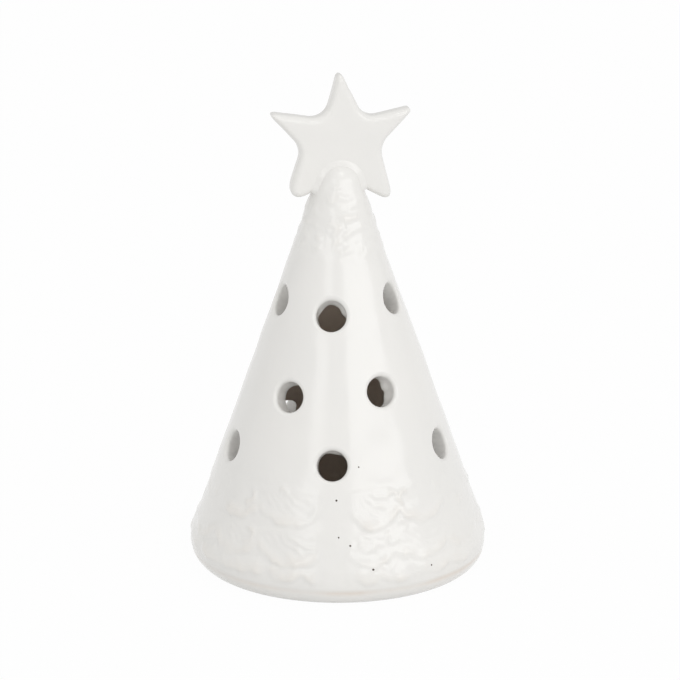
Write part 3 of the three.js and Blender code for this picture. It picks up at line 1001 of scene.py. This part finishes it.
def dress_cone(piece):
    """Moves the cone's skin by its relief and unevenness, and keeps the relief for the glaze."""
    points = places(piece)
    radius = np.hypot(points[:, 0], points[:, 1])
    slant = np.array([math.cos(CONE_HALF_ANGLE), math.sin(CONE_HALF_ANGLE)])
    depth = (outer_radius(points[:, 2]) - radius) * slant[0]
    skin_share = (1 - smooth_step(depth, *SKIN_DEPTHS)) * smooth_step(points[:, 2], *FOOT_FADE)
    relief = boughs(points)
    uneven = unevenness(points, CAST_WAVES)
    uneven += np.where(points[:, 2] < SKIRT_TOP, RIPPLE_LOW, RIPPLE_HIGH) * noise_at(points, RIPPLE_WIDTH, 23)
    uneven += BAND * noise_at(points * DRAWN_ROUND, BAND_WIDTH, 24)
    side = points[:, 0] / np.maximum(radius, SAME_PLACE)
    uneven += SAG * np.maximum(-side, 0) ** 2 * ridge(points[:, 2] - SAG_HEIGHT, SAG_WIDTH)
    uneven -= LINE_DEPTH * ridge(points[:, 2] - FOOT_LINE, LINE_WIDTH)
    outwards = points[:, :2] / np.maximum(radius, SAME_PLACE)[:, None]
    off_axis = smooth_step(radius, 0.0, NEAR_AXIS)
    move = np.stack([outwards[:, 0] * slant[0] * off_axis, outwards[:, 1] * slant[0] * off_axis,
                     slant[1] + (1 - slant[1]) * (1 - off_axis)], axis=1)
    set_places(piece, points + move * ((relief + uneven) * skin_share)[:, None])
    store_relief(piece, relief * skin_share / SKIRT_RELIEF)
    return relief


SMOOTH_BELOW = math.radians(38)
relief = dress_cone(cone)
only(cone)
bpy.ops.object.shade_smooth_by_angle(angle=SMOOTH_BELOW)
only(star)
bpy.ops.object.shade_smooth()
store_relief(star, np.zeros(len(star.data.vertices)))
print("relief up to", round(float(relief.max()), 2), "mm")

# %% [markdown]
# ## The luting slip
# The star was stuck on with liquid clay, and a finger smoothed the surplus into a soft fillet. It is made
# here in the same way: drops of slip are laid along the corner between the star's faces and the tip, and
# over the flanks under the arms. They are fused with a slightly shrunken tip and star into one skin, and
# smoothing that skin draws it into a fillet. Cutting the star and the cone from it leaves the fillet.

# %% The fused tip
SLIP_FOOT, SHRINK = 108.0, 0.2
PLUG_STEPS, PLUG_MERGE = 96, 1e-5


def tip_copy():
    """The cone's outside above SLIP_FOOT as a closed plug, spun like the cone."""
    rows = outer_rows[outer_rows[:, 1] > SLIP_FOOT] - SHRINK
    rows = rows[rows[:, 0] > 0]
    line = np.concatenate([[[0, rows[0, 1]]], rows, [[0, rows[-1, 1]]]])
    return spun("slip", line, PLUG_STEPS, PLUG_MERGE)


def shrunken_star():
    """A copy of the star, a little smaller all over."""
    twin = copy_of(star, "star_copy")
    set_places(twin, places(twin) - SHRINK * vertex_normals(twin))
    return twin


def drop(across, deep, height, radius):
    """A drop of slip, placed in the star's own turned plane."""
    bpy.ops.mesh.primitive_ico_sphere_add(subdivisions=2, radius=radius * MM, location=(
        (across * math.cos(STAR_TURN) - deep * math.sin(STAR_TURN)) * MM,
        (across * math.sin(STAR_TURN) + deep * math.cos(STAR_TURN)) * MM, height * MM))
    bpy.ops.object.transform_apply(location=True)
    return named("drop")


# %% Laying the drops
CORNER_REACH, CORNER_DROPS = 7.0, 25
DROP_RADIUS, LESS_ON_TOP = 1.05, 0.25
FLANK_DROPS, FLANK_DEPTH, FLANK_SINK = 6, 2.2, 0.2
LEFT_FLANK, RIGHT_FLANK = (-1, 119.4, 1.3), (1, 119.6, 1.1)  # side, height and radius of the drops


def drops_on_face(side):
    """Drops along the corner between one face of the star and the tip, from flank to flank."""
    face = STAR_THICKNESS / 2
    tip_rows = outer_rows[outer_rows[:, 1] > SLIP_FOOT][::-1]
    laid = []
    for step in np.linspace(-1, 1, CORNER_DROPS):
        across = step * CORNER_REACH
        height = np.interp(math.hypot(across, face), tip_rows[:, 0], tip_rows[:, 1])
        laid.append(drop(across, side * face, height, DROP_RADIUS - LESS_ON_TOP * (1 - step ** 2)))
    return laid


def drops_on_flank(side, height, radius):
    """Drops under one lower arm, from the star's front face to its back."""
    reach = side * (float(outer_radius(np.array([height]))[0]) - FLANK_SINK)
    return [drop(reach, deep, height, radius) for deep in np.linspace(-FLANK_DEPTH, FLANK_DEPTH, FLANK_DROPS)]


SLIP_VOXEL, SLIP_SMOOTHING = 0.3, 50
bpy.ops.object.select_all(action="DESELECT")
slip = join([tip_copy(), shrunken_star()] + drops_on_face(-1) + drops_on_face(1)
            + drops_on_flank(*LEFT_FLANK) + drops_on_flank(*RIGHT_FLANK), "luting_slip_fillet")
skin(slip, SLIP_VOXEL, SLIP_SMOOTHING)
slip.data.materials.clear()
add_finishes(slip)
cut(slip, copy_of(star, "star_cutter"))
cut(slip, copy_of(cone, "cone_cutter"))
print("slip:", len(slip.data.vertices), "vertices")

# %% Keeping the fillet
TOO_SHORT = 0.002 * MM


def keep_largest(piece, count):
    """Deletes all but the count largest separate shells, and edges too short to matter."""
    mesh = bmesh.new()
    mesh.from_mesh(piece.data)
    shells, seen = [], set()
    for start in mesh.verts:
        if start.index in seen:
            continue
        seen.add(start.index)
        shell, ends = [start], [start]
        while ends:
            vertex = ends.pop()
            for link in vertex.link_edges:
                other = link.other_vert(vertex)
                if other.index not in seen:
                    seen.add(other.index)
                    shell.append(other)
                    ends.append(other)
        shells.append(shell)
    shells.sort(key=len, reverse=True)
    print("shells:", [len(shell) for shell in shells[:6]])
    bmesh.ops.delete(mesh, geom=[v for shell in shells[count:] for v in shell], context="VERTS")
    bmesh.ops.dissolve_degenerate(mesh, dist=TOO_SHORT, edges=mesh.edges)
    print("open edges:", sum(not edge.is_manifold for edge in mesh.edges))
    mesh.to_mesh(piece.data)
    mesh.free()


SLIP_SMOOTH_BELOW = math.radians(50)
keep_largest(slip, 1)
only(slip)
bpy.ops.object.shade_smooth_by_angle(angle=SLIP_SMOOTH_BELOW)
store_relief(slip, np.zeros(len(slip.data.vertices)))
slip_box = places(slip)
print("slip from", slip_box.min(axis=0).round(1), "to", slip_box.max(axis=0).round(1))

# %% [markdown]
# ## What stands for what
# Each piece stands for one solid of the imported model, and the whole ornament is one body.

# %% Riding and replacing
for piece, node in ((cone, "tree_body"), (star, "star"), (slip, "luting_slip")):
    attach(piece, "root")
    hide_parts(node)
print("pieces:", cone.name, star.name, slip.name)

# %% [markdown]
# ## Floor and light
# A white floor with soft studio light: a wide softbox to the right of the camera, small ones to the left
# and above, and a pale room that is greyer behind the tree. The floor looks white to the camera and in
# reflections but still takes a faint shadow, and it lights the tree as an ordinary white floor does. Right
# under the tree it stays plain, so that the hollow stays dark.

# %% The floor
FLOOR_WIDE = 8
GLOW_SHARE = 0.97  # the rest shows the floor's own shading and shadow


def studio_white():
    material, output = new_material("studio_white_floor")
    place = add_node(material, "ShaderNodeTexCoord")
    plain = add_node(material, "ShaderNodeBsdfDiffuse", inputs={"Color": linear("#e6e6e6")})
    glow = add_node(material, "ShaderNodeEmission", inputs={"Color": linear("#ffffff"), "Strength": 1.0})
    path = add_node(material, "ShaderNodeLightPath")
    seen = add_node(material, "ShaderNodeMath", {"operation": "MAXIMUM"}, {
        0: path.outputs["Is Camera Ray"], 1: path.outputs["Is Glossy Ray"]})
    seen = add_node(material, "ShaderNodeMath", {"operation": "MAXIMUM"}, {
        0: seen.outputs["Value"], 1: path.outputs["Is Transmission Ray"]})
    distance = add_node(material, "ShaderNodeVectorMath", {"operation": "LENGTH"}, {
        "Vector": place.outputs["Object"]})
    open_floor = add_node(material, "ShaderNodeMapRange", inputs={
        "Value": distance.outputs["Value"], "From Min": FOOT_INNER * MM, "From Max": FOOT_OUTER * MM,
        "To Min": 0.0, "To Max": GLOW_SHARE})
    share = add_node(material, "ShaderNodeMath", {"operation": "MULTIPLY"}, {
        0: seen.outputs["Value"], 1: open_floor.outputs["Result"]})
    mixed = add_node(material, "ShaderNodeMixShader", inputs={
        "Fac": share.outputs["Value"], 1: plain.outputs["BSDF"], 2: glow.outputs["Emission"]})
    return finish_material(material, output, mixed.outputs["Shader"])


bpy.ops.object.select_all(action="DESELECT")
bpy.ops.mesh.primitive_plane_add(size=FLOOR_WIDE)
floor = named("floor")
floor.data.materials.append(studio_white())

# %% The lights
def softbox(name, turn, lift, distance, wide, high, glow):
    """A soft rectangle of light that faces the tree. glow is its brightness, where 1 is white."""
    data = bpy.data.lights.new(name, "AREA")
    data.shape = "RECTANGLE"
    data.size, data.size_y = wide, high
    data.energy = glow * math.pi * wide * high
    lamp = bpy.data.objects.new(name, data)
    bpy.context.collection.objects.link(lamp)
    turn, lift = math.radians(turn), math.radians(lift)
    away = Vector((math.sin(turn) * math.cos(lift), -math.cos(turn) * math.cos(lift), math.sin(lift)))
    lamp.location = Vector((0, 0, AIM_HEIGHT)) + away * distance
    lamp.rotation_euler = away.to_track_quat("Z", "Y").to_euler()
    return lamp


SOFTBOXES = [  # name, turn and lift in degrees, distance, width and height in metres, brightness
    ("softbox_right", 42, 18, 1.6, 1.75, 0.45, 1.85),
    ("softbox_left", -24, 19, 1.6, 0.45, 0.6, 1.35),
    ("softbox_above", 26, 56, 1.6, 0.5, 0.4, 2.5),
]
for box in SOFTBOXES:
    softbox(*box)

# %% The room
ROOM_FRONT, ROOM_BACK = 0.84, 0.62   # the wall behind the tree is greyer, which darkens its edges a little
BACK_STARTS, BACK_FULL = 0.1, 0.95   # share of a ray's way that leads back, where the grey starts and is full

world = bpy.data.worlds.new("pale_room")
world.use_nodes = True
room = world.node_tree.nodes["Background"]
room.inputs["Color"].default_value = linear("#ffffff")
towards = add_node(world, "ShaderNodeTexCoord")
across = add_node(world, "ShaderNodeSeparateXYZ", inputs={"Vector": towards.outputs["Generated"]})
fade = add_node(world, "ShaderNodeMapRange", inputs={
    "Value": across.outputs["Y"], "From Min": BACK_STARTS, "From Max": BACK_FULL,
    "To Min": ROOM_FRONT, "To Max": ROOM_BACK})
world.node_tree.links.new(fade.outputs["Result"], room.inputs["Strength"])
bpy.context.scene.world = world
bpy.context.scene.view_settings.view_transform = "Standard"
